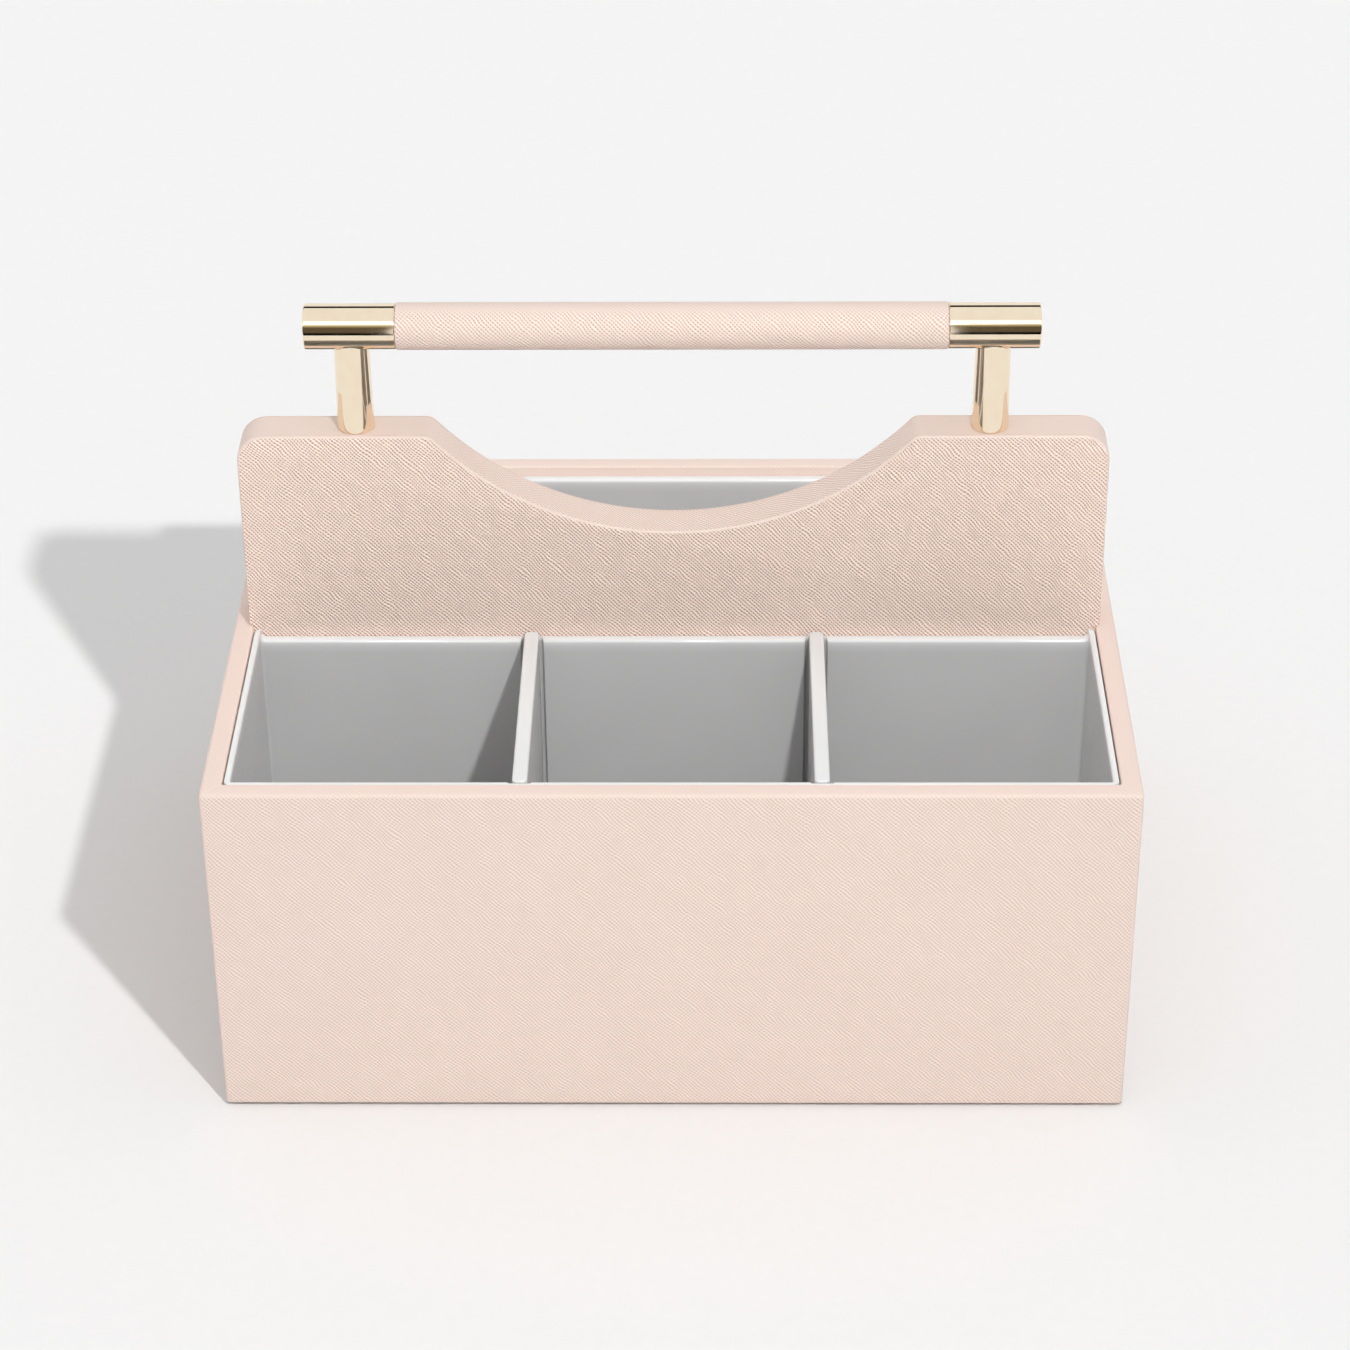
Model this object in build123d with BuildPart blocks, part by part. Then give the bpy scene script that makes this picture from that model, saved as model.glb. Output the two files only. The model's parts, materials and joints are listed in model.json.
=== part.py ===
"""Open makeup organizer with a grip bar.

A leather-wrapped fibreboard box is split into a front and a rear bay by a tall padded partition.
Two posts on the partition's shoulders carry the grip bar. Each bay holds a moulded tray that lifts out,
and the front tray holds two dividers that lift out of its grooves.

Millimetres. The origin is on the floor under the middle of the box, +X to the right, +Y to the back, +Z up.
"""
import os
from math import sqrt

from build123d import *

os.makedirs("parts", exist_ok=True)

# Box
box_width = 255.0  # outside, left to right
box_depth = 188.0  # outside, front to back
rim_height = 107.0  # floor to the top of the walls
board = 4.5  # thickness of the walls and the base
leather = 0.6  # thickness of the covering
corner_rebate = 2.2  # depth of the corner joints and of the base's seat in the walls
box_edge_round = 1.0  # outside edges of the wrapped box
rim_inner_round = 0.5  # inside edge of the wrapped rim
turn_under = 14.0  # leather folded under the bottom edge
felt = 1.0  # thickness of the pad under the base
felt_inset = 3.0  # outside of the box to the edge of the felt
felt_corner_round = 3.0
floor_lining = 0.6  # thickness of the sheet on each bay's floor
floor_lining_gap = 0.5  # lining to the walls of its bay

# Partition
core_thickness = 12.0
partition_rise = 62.2  # rim to the partition's shoulders
shoulder_land = 54.6  # side edge of the partition to the lip of the scoop
scoop_depth = 30.8  # shoulders to the low point of the scoop
shoulder_round = 6.9  # core's top outer corners
scoop_lip_round = 2.0  # core's corner where a shoulder turns down into the scoop
edge_band = 1.1  # leather and padding around the partition's edge

# Screws that hold the partition to the base
screw_diameter = 4.0
screw_head_diameter = 8.0
screw_length = 35.0
screw_tip = 4.0
screw_pitch = 80.0
screw_count = 3
countersink_angle = 90.0

# Handle
post_inset = 33.65  # side edge of the partition to the middle of a post
post_height = 25.0  # shoulder to the underside of the ferrule
post_foot_diameter = 10.5
post_top_diameter = 9.7
post_foot_chamfer = 0.3
tube_diameter = 12.0
tube_wall = 1.0
ferrule_length = 25.5
ferrule_step = 0.4  # how far the ferrule stands proud of the tube
ferrule_edge_round = 0.4
plug_length = 18.0  # ferrule's plug inside the tube
peg_diameter = 6.0  # post's peg inside the ferrule
peg_rise = 3.0  # top of the peg above the bar's axis
bolt_diameter = 4.0
bolt_in_post = 15.0
bolt_in_partition = 32.0
grub_diameter = 3.0
grub_key = 1.5  # across the flats of the set screw's socket
grub_recess = 0.3  # set screw below the ferrule's surface
fit = 0.05  # radial clearance of pegs, plugs, bolts and screws in their holes

# Trays
tray_gap = 0.4  # tray to the walls of its bay
tray_seat_gap = 0.1  # tray to the floor lining
tray_wall = 2.2
tray_floor = 2.0
tray_drop = 0.5  # tops of the tray's front and side walls below the box's rim
tray_rear_drop = 2.5  # rear wall's top below the side walls' tops
tray_corner_round = 2.0
tray_inner_corner_round = 0.8
tray_rim_round = 0.5

# Dividers
divider_thickness = 4.2
middle_compartment = 78.0  # clear width between the dividers
groove_play = 1.0  # groove wider than the divider, on each side
groove_depth = 0.9
divider_end_gap = 0.3  # divider to the bottom of its groove
divider_seat_gap = 0.1  # divider to the tray's floor
divider_end_round = 1.4
divider_top_round = 0.5

# Places in the box that follow from the sizes above
wall = board + 2 * leather
board_width = box_width - 2 * leather
board_depth = box_depth - 2 * leather
room_width = board_width - 2 * board
room_depth = board_depth - 2 * board
inner_width = box_width - 2 * wall
inner_depth = box_depth - 2 * wall
wall_foot = felt + leather
wall_top = rim_height - leather
base_top = wall_foot + board
base_width = room_width + 2 * corner_rebate
base_depth = room_depth + 2 * corner_rebate

# Places on the partition
partition_thickness = core_thickness + 2 * leather
partition_half_width = inner_width / 2 + edge_band
shoulder_height = rim_height + partition_rise
scoop_half_width = partition_half_width - shoulder_land
scoop_radius = (scoop_half_width**2 + scoop_depth**2) / (2 * scoop_depth)
scoop_centre_height = shoulder_height - scoop_depth + scoop_radius
band_foot_round = 0.8 * edge_band  # lower corner of the band, where it overhangs the rim
screw_places = [
    ((index - (screw_count - 1) / 2) * screw_pitch, 0, wall_foot) for index in range(screw_count)
]
screw_head_height = (screw_head_diameter - screw_diameter) / 2

# Places on the handle
ferrule_diameter = tube_diameter + 2 * ferrule_step
grip_diameter = tube_diameter + 2 * leather
post_x = partition_half_width - post_inset
ferrule_inner_x = post_x - ferrule_length / 2
grip_length = 2 * ferrule_inner_x
bar_height = shoulder_height + post_height + ferrule_diameter / 2
bolt_foot = shoulder_height - bolt_in_partition
bolt_length = bolt_in_partition + bolt_in_post
plug_diameter = tube_diameter - 2 * tube_wall - 2 * fit
grub_inner_y = peg_diameter / 2 + fit
grub_outer_y = ferrule_diameter / 2 - grub_recess
grub_length = grub_outer_y - grub_inner_y

# Places in the bays: a tray has to pass the partition, the grip and the ferrules on its way up
spine_half_depth = max(partition_thickness, grip_diameter, ferrule_diameter) / 2
bay_depth = inner_depth / 2 - partition_thickness / 2
bay_centre = partition_thickness / 2 + bay_depth / 2
tray_width = inner_width - 2 * tray_gap
tray_depth = inner_depth / 2 - spine_half_depth - 2 * tray_gap
tray_centre = spine_half_depth + tray_gap + tray_depth / 2
tray_bottom = base_top + floor_lining + tray_seat_gap
tray_top = rim_height - tray_drop
tray_floor_top = tray_bottom + tray_floor
tray_inner_width = tray_width - 2 * tray_wall
tray_inner_depth = tray_depth - 2 * tray_wall
tray_step_round = 0.6 * tray_rear_drop  # where the side walls step down to the rear wall
divider_x = middle_compartment / 2 + divider_thickness / 2
divider_length = tray_inner_depth + 2 * (groove_depth - divider_end_gap)
divider_foot = tray_floor_top + divider_seat_gap


def panel_outline(plane, foot, inset, foot_round=0.0):
    """The partition's outline above a foot height, inset from the outside of its edge band."""
    half_width = partition_half_width - inset
    top = shoulder_height - inset
    radius = scoop_radius + inset
    lip = sqrt(radius**2 - (scoop_centre_height - top) ** 2)
    low = scoop_centre_height - radius
    with BuildSketch(plane) as panel:
        with BuildLine():
            for side in (-1, 1):
                Polyline((0, foot), (side * half_width, foot), (side * half_width, top), (side * lip, top))
            ThreePointArc((-lip, top), (0, low), (lip, top))
        make_face()
        lips = panel.vertices().group_by(Axis.Y)[-1].sort_by(lambda corner: abs(corner.X))[:2]
        fillet(lips, scoop_lip_round + edge_band - inset)
        shoulders = panel.vertices().group_by(Axis.Y)[-1].sort_by(lambda corner: abs(corner.X))[-2:]
        fillet(shoulders, shoulder_round + edge_band - inset)
        if foot_round > 0:
            feet = panel.vertices().group_by(Axis.Y)[0].sort_by(lambda corner: abs(corner.X))[-2:]
            fillet(feet, foot_round)
    return panel.sketch


# Base board, with countersunk holes for the partition's screws
with BuildPart() as base_board:
    with BuildSketch(Plane.XY.offset(wall_foot)):
        Rectangle(base_width, base_depth)
    extrude(amount=board)
    with Locations([Plane(origin=place, z_dir=(0, 0, -1)) for place in screw_places]):
        CounterSinkHole(
            screw_diameter / 2 + fit,
            screw_head_diameter / 2 + fit,
            depth=board,
            counter_sink_angle=countersink_angle,
        )
base_board.part.label = "base_board"
export_step(base_board.part, "parts/base_board.step")

# Front and back walls, rebated for the side walls and the base
for name, side in (("front_board", -1), ("back_board", 1)):
    with BuildPart() as long_board:
        with BuildSketch(Plane.XY.offset(wall_foot)):
            with Locations((0, side * (board_depth - board) / 2)):
                Rectangle(board_width, board)
            with GridLocations(board_width - board, 0, 2, 1):
                Rectangle(board, room_depth + 2 * corner_rebate, mode=Mode.SUBTRACT)
        extrude(amount=wall_top - wall_foot)
        with BuildSketch(Plane.XY.offset(wall_foot)):
            Rectangle(base_width, base_depth)
        extrude(amount=board, mode=Mode.SUBTRACT)
    long_board.part.label = name
    export_step(long_board.part, f"parts/{name}.step")

# Side walls, let into the rebates of the front and back walls
for name, side in (("left_board", -1), ("right_board", 1)):
    with BuildPart() as side_board:
        with BuildSketch(Plane.XY.offset(wall_foot)):
            with Locations((side * (board_width - board) / 2, 0)):
                Rectangle(board, room_depth + 2 * corner_rebate)
        extrude(amount=wall_top - wall_foot)
        with BuildSketch(Plane.XY.offset(wall_foot)):
            Rectangle(base_width, base_depth)
        extrude(amount=board, mode=Mode.SUBTRACT)
    side_board.part.label = name
    export_step(side_board.part, f"parts/{name}.step")

# Leather around the walls: outside, over the rim, down the inside and under the bottom edge
with BuildPart() as outer_wrap:
    with BuildSketch(Plane.XY.offset(felt)):
        Rectangle(box_width, box_depth)
    extrude(amount=rim_height - felt)
    fillet(outer_wrap.edges().filter_by(Axis.Z), box_edge_round)
    fillet(outer_wrap.faces().sort_by(Axis.Z)[-1].edges(), box_edge_round)
    with BuildSketch(Plane.XY.offset(base_top)):
        Rectangle(inner_width, inner_depth)
    extrude(amount=rim_height - base_top, mode=Mode.SUBTRACT)
    rim_inner_edges = outer_wrap.faces().filter_by(Plane.XY).sort_by(Axis.Z)[-1].inner_wires()[0].edges()
    fillet(rim_inner_edges, rim_inner_round)
    with BuildSketch(Plane.XY.offset(wall_foot)):
        Rectangle(board_width, board_depth)
        Rectangle(room_width, room_depth, mode=Mode.SUBTRACT)
    extrude(amount=wall_top - wall_foot, mode=Mode.SUBTRACT)
    with BuildSketch(Plane.XY.offset(wall_foot)):
        Rectangle(room_width, room_depth)
    extrude(amount=board, mode=Mode.SUBTRACT)
    with BuildSketch(Plane.XY.offset(felt)):
        Rectangle(box_width - 2 * turn_under, box_depth - 2 * turn_under)
    extrude(amount=leather, mode=Mode.SUBTRACT)
outer_wrap.part.label = "outer_wrap"
export_step(outer_wrap.part, "parts/outer_wrap.step")

# Card inside the folded leather under the base
with BuildPart() as base_liner:
    with BuildSketch(Plane.XY.offset(felt)):
        Rectangle(box_width - 2 * turn_under, box_depth - 2 * turn_under)
    extrude(amount=leather)
base_liner.part.label = "base_liner"
export_step(base_liner.part, "parts/base_liner.step")

# Felt pad that the box stands on
with BuildPart() as base_felt:
    with BuildSketch():
        RectangleRounded(box_width - 2 * felt_inset, box_depth - 2 * felt_inset, felt_corner_round)
    extrude(amount=felt)
base_felt.part.label = "base_felt"
export_step(base_felt.part, "parts/base_felt.step")

# Soft sheet on the floor of each bay
for name, side in (("front_floor_lining", -1), ("rear_floor_lining", 1)):
    with BuildPart() as lining:
        with BuildSketch(Plane.XY.offset(base_top)):
            with Locations((0, side * bay_centre)):
                Rectangle(inner_width - 2 * floor_lining_gap, bay_depth - 2 * floor_lining_gap)
        extrude(amount=floor_lining)
    lining.part.label = name
    export_step(lining.part, f"parts/{name}.step")

# Partition's core, with holes for the screws from below and the posts' bolts from above
with BuildPart() as partition_core:
    extrude(panel_outline(Plane.XZ, base_top, edge_band), amount=core_thickness / 2, both=True)
    with Locations([Plane(origin=(x, 0, base_top), z_dir=(0, 0, -1)) for x, y, z in screw_places]):
        Hole(screw_diameter / 2 + fit, depth=screw_length - board)
    with Locations([(side * post_x, 0, shoulder_height - edge_band) for side in (-1, 1)]):
        Hole(bolt_diameter / 2 + fit, depth=bolt_in_partition - edge_band)
partition_core.part.label = "partition_core"
export_step(partition_core.part, "parts/partition_core.step")

# Leather on the partition's two faces
for name, side in (("partition_front_cover", 1), ("partition_back_cover", -1)):
    core_face = Plane.XZ.offset(side * core_thickness / 2)
    with BuildPart() as cover:
        extrude(panel_outline(core_face, rim_height, 0, band_foot_round), amount=side * leather)
        with BuildSketch(core_face):
            with Locations((0, (base_top + rim_height) / 2)):
                Rectangle(inner_width, rim_height - base_top)
        extrude(amount=side * leather)
    cover.part.label = name
    export_step(cover.part, f"parts/{name}.step")

# Padded leather band around the partition's edge above the rim
with BuildPart() as partition_edge_band:
    extrude(panel_outline(Plane.XZ, rim_height, 0, band_foot_round), amount=core_thickness / 2, both=True)
    extrude(
        panel_outline(Plane.XZ, base_top, edge_band),
        amount=core_thickness / 2,
        both=True,
        mode=Mode.SUBTRACT,
    )
    with Locations([(side * post_x, 0, shoulder_height) for side in (-1, 1)]):
        Hole(bolt_diameter / 2 + fit, depth=edge_band)
partition_edge_band.part.label = "partition_edge_band"
export_step(partition_edge_band.part, "parts/partition_edge_band.step")

# Countersunk screws up through the base into the partition
with BuildPart() as partition_screws:
    with Locations(screw_places):
        Cone(
            screw_head_diameter / 2,
            screw_diameter / 2,
            screw_head_height,
            align=(Align.CENTER, Align.CENTER, Align.MIN),
        )
        Cylinder(
            screw_diameter / 2,
            screw_length - screw_tip,
            align=(Align.CENTER, Align.CENTER, Align.MIN),
        )
    with Locations([(x, y, z + screw_length - screw_tip) for x, y, z in screw_places]):
        Cone(screw_diameter / 2, fit, screw_tip, align=(Align.CENTER, Align.CENTER, Align.MIN))
partition_screws.part.label = "partition_screws"
export_step(partition_screws.part, "parts/partition_screws.step")

# Posts: tapered, cut to a saddle under the ferrule, with a peg above and a bolt hole below
for name, side in (("left_post", -1), ("right_post", 1)):
    with BuildPart() as post:
        with Locations((side * post_x, 0, shoulder_height)):
            Cone(
                post_foot_diameter / 2,
                post_top_diameter / 2,
                bar_height - shoulder_height,
                align=(Align.CENTER, Align.CENTER, Align.MIN),
            )
        chamfer(post.faces().sort_by(Axis.Z)[0].edges(), post_foot_chamfer)
        with BuildSketch(Plane.YZ.offset(side * post_x)):
            with Locations((0, bar_height)):
                Circle(ferrule_diameter / 2 + fit)
        extrude(amount=ferrule_length / 2, both=True, mode=Mode.SUBTRACT)
        with BuildSketch(Plane.XY.offset(shoulder_height + post_height - peg_rise)):
            with Locations((side * post_x, 0)):
                Circle(peg_diameter / 2)
        extrude(amount=2 * peg_rise + ferrule_diameter / 2)
        with Locations(Plane(origin=(side * post_x, 0, shoulder_height), z_dir=(0, 0, -1))):
            Hole(bolt_diameter / 2 + fit, depth=bolt_in_post + fit)
    post.part.label = name
    export_step(post.part, f"parts/{name}.step")

# Ferrules: bar ends with a plug in the tube, a hole for the post's peg and a hole for the set screw
for name, side in (("left_ferrule", -1), ("right_ferrule", 1)):
    with BuildPart() as ferrule:
        with BuildSketch(Plane.YZ.offset(side * ferrule_inner_x)):
            with Locations((0, bar_height)):
                Circle(ferrule_diameter / 2)
        extrude(amount=side * ferrule_length)
        fillet(ferrule.edges().filter_by(GeomType.CIRCLE), ferrule_edge_round)
        with BuildSketch(Plane.YZ.offset(side * ferrule_inner_x)):
            with Locations((0, bar_height)):
                Circle(plug_diameter / 2)
        extrude(amount=-side * plug_length)
        with BuildSketch(Plane.XY.offset(bar_height + peg_rise + fit)):
            with Locations((side * post_x, 0)):
                Circle(peg_diameter / 2 + fit)
        extrude(amount=-(peg_rise + ferrule_diameter), mode=Mode.SUBTRACT)
        with BuildSketch(Plane.XZ):
            with Locations((side * post_x, bar_height)):
                Circle(grub_diameter / 2 + fit)
        extrude(amount=-ferrule_diameter, mode=Mode.SUBTRACT)
    ferrule.part.label = name
    export_step(ferrule.part, f"parts/{name}.step")

# Steel tube of the grip
with BuildPart() as grip_tube:
    with BuildSketch(Plane.YZ):
        with Locations((0, bar_height)):
            Circle(tube_diameter / 2)
            Circle(tube_diameter / 2 - tube_wall, mode=Mode.SUBTRACT)
    extrude(amount=grip_length / 2, both=True)
grip_tube.part.label = "grip_tube"
export_step(grip_tube.part, "parts/grip_tube.step")

# Leather around the grip
with BuildPart() as grip_wrap:
    with BuildSketch(Plane.YZ):
        with Locations((0, bar_height)):
            Circle(grip_diameter / 2)
            Circle(tube_diameter / 2, mode=Mode.SUBTRACT)
    extrude(amount=grip_length / 2, both=True)
grip_wrap.part.label = "grip_wrap"
export_step(grip_wrap.part, "parts/grip_wrap.step")

# Bolts from the partition up into the posts
with BuildPart() as post_hanger_bolts:
    with Locations([(side * post_x, 0, bolt_foot) for side in (-1, 1)]):
        Cylinder(bolt_diameter / 2, bolt_length, align=(Align.CENTER, Align.CENTER, Align.MIN))
post_hanger_bolts.part.label = "post_hanger_bolts"
export_step(post_hanger_bolts.part, "parts/post_hanger_bolts.step")

# Set screws at the back of the ferrules, with a hexagon socket
with BuildPart() as ferrule_grub_screws:
    with BuildSketch(Plane.XZ.offset(-grub_inner_y)):
        with Locations([(side * post_x, bar_height) for side in (-1, 1)]):
            Circle(grub_diameter / 2)
    extrude(amount=-grub_length)
    with BuildSketch(Plane.XZ.offset(-grub_outer_y)):
        with Locations([(side * post_x, bar_height) for side in (-1, 1)]):
            RegularPolygon(grub_key / 2, side_count=6, major_radius=False)
    extrude(amount=grub_length / 2, mode=Mode.SUBTRACT)
ferrule_grub_screws.part.label = "ferrule_grub_screws"
export_step(ferrule_grub_screws.part, "parts/ferrule_grub_screws.step")

# Trays: the front one has grooves for the dividers, the rear one is plain
for name, side, grooved in (("front_tray", -1, True), ("rear_tray", 1, False)):
    tray_y = side * tray_centre
    with BuildPart() as tray:
        with BuildSketch(Plane.XY.offset(tray_bottom)):
            with Locations((0, tray_y)):
                RectangleRounded(tray_width, tray_depth, tray_corner_round)
        extrude(amount=tray_top - tray_bottom)
        with BuildSketch(Plane.XY.offset(tray_floor_top)):
            with Locations((0, tray_y)):
                RectangleRounded(tray_inner_width, tray_inner_depth, tray_inner_corner_round)
        extrude(amount=tray_top - tray_floor_top, mode=Mode.SUBTRACT)
        fillet(tray.faces().filter_by(Plane.XY).sort_by(Axis.Z)[-1].edges(), tray_rim_round)
        with BuildSketch(Plane.XZ.offset(-(tray_y + tray_inner_depth / 2 - tray_inner_corner_round))):
            with Locations((0, tray_top)):
                RectangleRounded(tray_inner_width, 2 * tray_rear_drop, tray_step_round)
        extrude(amount=-(tray_wall + 2 * tray_inner_corner_round), mode=Mode.SUBTRACT)
        if grooved:
            with BuildSketch(Plane.XY.offset(tray_floor_top)):
                with Locations([(end * divider_x, tray_y) for end in (-1, 1)]):
                    Rectangle(divider_thickness + 2 * groove_play, tray_inner_depth + 2 * groove_depth)
            extrude(amount=tray_top - tray_floor_top, mode=Mode.SUBTRACT)
    tray.part.label = name
    export_step(tray.part, f"parts/{name}.step")

# Dividers that stand in the front tray's grooves
for name, side in (("front_left_divider", -1), ("front_right_divider", 1)):
    with BuildPart() as divider:
        with BuildSketch(Plane.XY.offset(divider_foot)):
            with Locations((side * divider_x, -tray_centre)):
                RectangleRounded(divider_thickness, divider_length, divider_end_round)
        extrude(amount=tray_top - divider_foot)
        fillet(divider.faces().sort_by(Axis.Z)[-1].edges(), divider_top_round)
    divider.part.label = name
    export_step(divider.part, f"parts/{name}.step")
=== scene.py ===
"""Makeup organizer: leather, gold plate, moulded trays and felt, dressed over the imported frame.

Metres, in the frame's own axes: +X to the right along the grip, +Y to the back, +Z up.
"""
import json
from math import asin, atan2, cos, pi, radians, sin, tan

import bmesh
import bpy
from mathutils import Matrix, Vector


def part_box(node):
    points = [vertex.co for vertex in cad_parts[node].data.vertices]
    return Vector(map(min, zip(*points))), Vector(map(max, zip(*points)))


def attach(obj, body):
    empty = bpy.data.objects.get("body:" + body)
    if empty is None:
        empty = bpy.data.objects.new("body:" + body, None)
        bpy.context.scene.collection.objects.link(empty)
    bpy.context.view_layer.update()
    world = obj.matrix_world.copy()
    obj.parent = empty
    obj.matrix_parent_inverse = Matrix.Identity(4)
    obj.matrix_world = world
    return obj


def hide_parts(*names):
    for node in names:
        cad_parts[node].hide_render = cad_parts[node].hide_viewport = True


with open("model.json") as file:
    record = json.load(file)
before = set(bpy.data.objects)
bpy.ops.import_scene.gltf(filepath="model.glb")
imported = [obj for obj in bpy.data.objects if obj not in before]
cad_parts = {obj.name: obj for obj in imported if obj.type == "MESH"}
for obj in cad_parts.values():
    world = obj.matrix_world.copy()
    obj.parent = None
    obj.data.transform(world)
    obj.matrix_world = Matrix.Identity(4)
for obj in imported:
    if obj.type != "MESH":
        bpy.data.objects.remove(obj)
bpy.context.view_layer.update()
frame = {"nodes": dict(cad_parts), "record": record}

MM = 0.001
TOUCH = 0.01 * MM  # nearer than this counts as the same place
SHARP_EDGE = radians(35)  # edges that turn further than this are shaded as sharp
SOFT_EDGE = radians(60)  # the same, for the grip and the felt

# Leather
LEATHER = 0.6 * MM  # thickness of the covering
BOX_EDGE_ROUND = 1.0 * MM  # outside edges of the wrapped box
RIM_INNER_ROUND = 0.6 * MM
TURN_UNDER = 14.0 * MM  # leather folded under the bottom edge
MITRE_CREASE = 0.18 * MM  # depth of the fold line across each corner of the rim
COVER_EDGE_ROUND = 0.7 * MM  # where a face of the partition rolls over its edge
COVER_LAP = 0.15 * MM  # flat part of the roll, up to the seam with the edge band
SEAM_GAP = 0.2 * MM
SEAM_ROUND = 0.15 * MM  # edges of the band along its two seams
SEAM_ANGLE = radians(50)  # the band's edges that turn further than this are rounded

# Emboss
WAVE_PHASE = 20  # radians per metre that a wave pattern turns at a scale of 1
EMBOSS_PITCH = 0.87  # millimetres from line to line
EMBOSS_RELIEF = 0.16 * MM  # from the crests to the deepest points, at a press of 1
CREST_HEIGHT = 0.428  # crests above the unpressed surface, as a share of the relief
CROSSING_SHARE = 0.58  # how far the crossing lines fill the gaps between the main lines

# Press of the emboss: leather that is stretched over an edge loses most of it, and where the press is light
# the leather is also painted paler, as painted highlight
FACE_PRESS = 1.75  # on the partition, where it is freshest
GRIP_PRESS = 1.2
GRIP_WORN_PRESS = 0.2  # along the top of the grip, where the hand closes on it
BOX_PRESS = 0.78
SCOOP_PRESS = 1.0  # on the edge band
PRESS_FADE = 10.0 * MM  # below the shoulders, where the edge band's emboss grows to that
SHOULDER_PRESS = 0.15
RIM_PRESS = 0.2
EDGE_PRESS = 0.08

# Partition
EDGE_BAND = 1.1 * MM  # leather and padding around the edge
SHOULDER_LAND = 54.6 * MM  # side edge to the lip of the scoop
SCOOP_DEPTH = 30.8 * MM
SHOULDER_ROUND = 8.0 * MM
SCOOP_LIP_ROUND = 3.1 * MM
FOOT_ROUND = 0.9 * MM  # lower corner that overhangs the rim

# Grip
GRIP_END_ROLL = 0.45 * MM
GRIP_SEAM_DEPTH = 0.3 * MM
GRIP_SEAM_TURN = radians(25)  # from straight down towards the back
GRIP_WEAR_START = 0.75  # height above the axis, as a share of the radius, where the wear begins

# Trays and dividers
TRAY_WALL = 2.2 * MM
TRAY_REAR_EXTRA = 0.6 * MM  # the rear wall is thicker by this
TRAY_THINNING = 0.5 * MM  # the front and side walls are thinner by this above the floor
TRAY_FLOOR = 2.0 * MM
TRAY_DRAFT = 0.3 * MM  # inside walls lean out by this from floor to rim
TRAY_INSIDE = TRAY_WALL + TRAY_DRAFT  # outside of a wall to its inside, at the floor
TRAY_CORNER_ROUND = 2.0 * MM
TRAY_INNER_CORNER_ROUND = 0.8 * MM
TRAY_FOOT_ROUND = 0.8 * MM
TRAY_RIM_OUTER_ROUND = 0.3 * MM
TRAY_RIM_INNER_ROUND = 0.8 * MM
TRAY_FLOOR_FILLET = 1.2 * MM
HIGHLIGHT_DEPTH = 4.0 * MM  # how far the painted highlight on the rims fades down the walls
RIM_HIGHLIGHT = 0.88  # how far the rims are painted pale as a highlight, where 1 is white
# the same painted highlight, on the dividers' tops
DIVIDER_HIGHLIGHT = 0.8
TRAY_REAR_DROP = 2.5 * MM  # rear wall's top below the side walls' tops
TRAY_STEP_ROUND = 1.5 * MM  # where a side wall steps down to the rear wall
GROOVE_WIDTH = 6.2 * MM
GROOVE_DEPTH = 0.9 * MM
GROOVE_EDGE = 0.7 * MM  # width of the curve at each edge of a groove
DIVIDER_END_ROUND = 1.4 * MM
DIVIDER_TOP_ROUND = 0.6 * MM
DIVIDER_FOOT_ROUND = 0.3 * MM

# Felt
FELT_EDGE_ROUND = 0.25 * MM
FELT_CORNER_ROUND = 3.0 * MM
LINING_CORNER_ROUND = 1.0 * MM

# Segments in each round
BOX_EDGE_STEPS = 5
BOX_CORNER_STEPS = 6
RIM_INNER_STEPS = 4
COVER_EDGE_STEPS = 5
SEAM_STEPS = 3
SHOULDER_STEPS = 12
SCOOP_STEPS = 64
SCOOP_LIP_STEPS = 6
FOOT_STEPS = 4
GRIP_SIDES = 120
GRIP_END_STEPS = 4
TRAY_CORNER_STEPS = 8
TRAY_FOOT_STEPS = 3
TRAY_RIM_OUTER_STEPS = 4
TRAY_RIM_INNER_STEPS = 5
TRAY_FLOOR_STEPS = 4
TRAY_STEP_CUTS = 6
GROOVE_EDGE_CUTS = 6
DIVIDER_END_STEPS = 8
DIVIDER_TOP_STEPS = 4
DIVIDER_FOOT_STEPS = 2
FELT_CORNER_STEPS = 6

# Camera at the photograph's viewing angle
IMAGE_PIXELS = 1350
FOCAL_PIXELS = 3647.0
SENSOR = 36.0  # millimetres
CAMERA_PLACE = Vector((14.1, -906.2, 658.8)) * MM
CAMERA_PITCH = radians(32.29)  # below the horizon
CAMERA_YAW = radians(0.889)
CAMERA_ROLL = radians(-0.497)
CLIP_START = 0.01  # metres
CLIP_END = 100.0

# Floor and light
FLOOR_HALF_SIZE = 20.0  # metres
LAMP_PLACE = Vector((90.0, -412.0, 480.0)) * MM
LAMP_RADIUS = 9.0 * MM
LAMP_POWER = 31.7
FILL_AT_HORIZON = 0.42
FILL_OVERHEAD = 0.94

# Panels that only reflections see, in metres
SPREAD = 3.0  # how far they reach to each side
AHEAD = -0.55  # place of the front ones along Y
FLAG_TOP = 0.53
FLAG_LIFT = (0.1, 0.16)  # heights between which the front flags turn from black to grey
FLAG_PAINTED_SPILL = (0.38, FLAG_TOP)  # heights between which painted spill light brightens them
FLAG_GLOW = 1.0
FRONT_SOFTBOX_GLOW = 1.6
TOP_SOFTBOX_GLOW = 0.9

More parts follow.
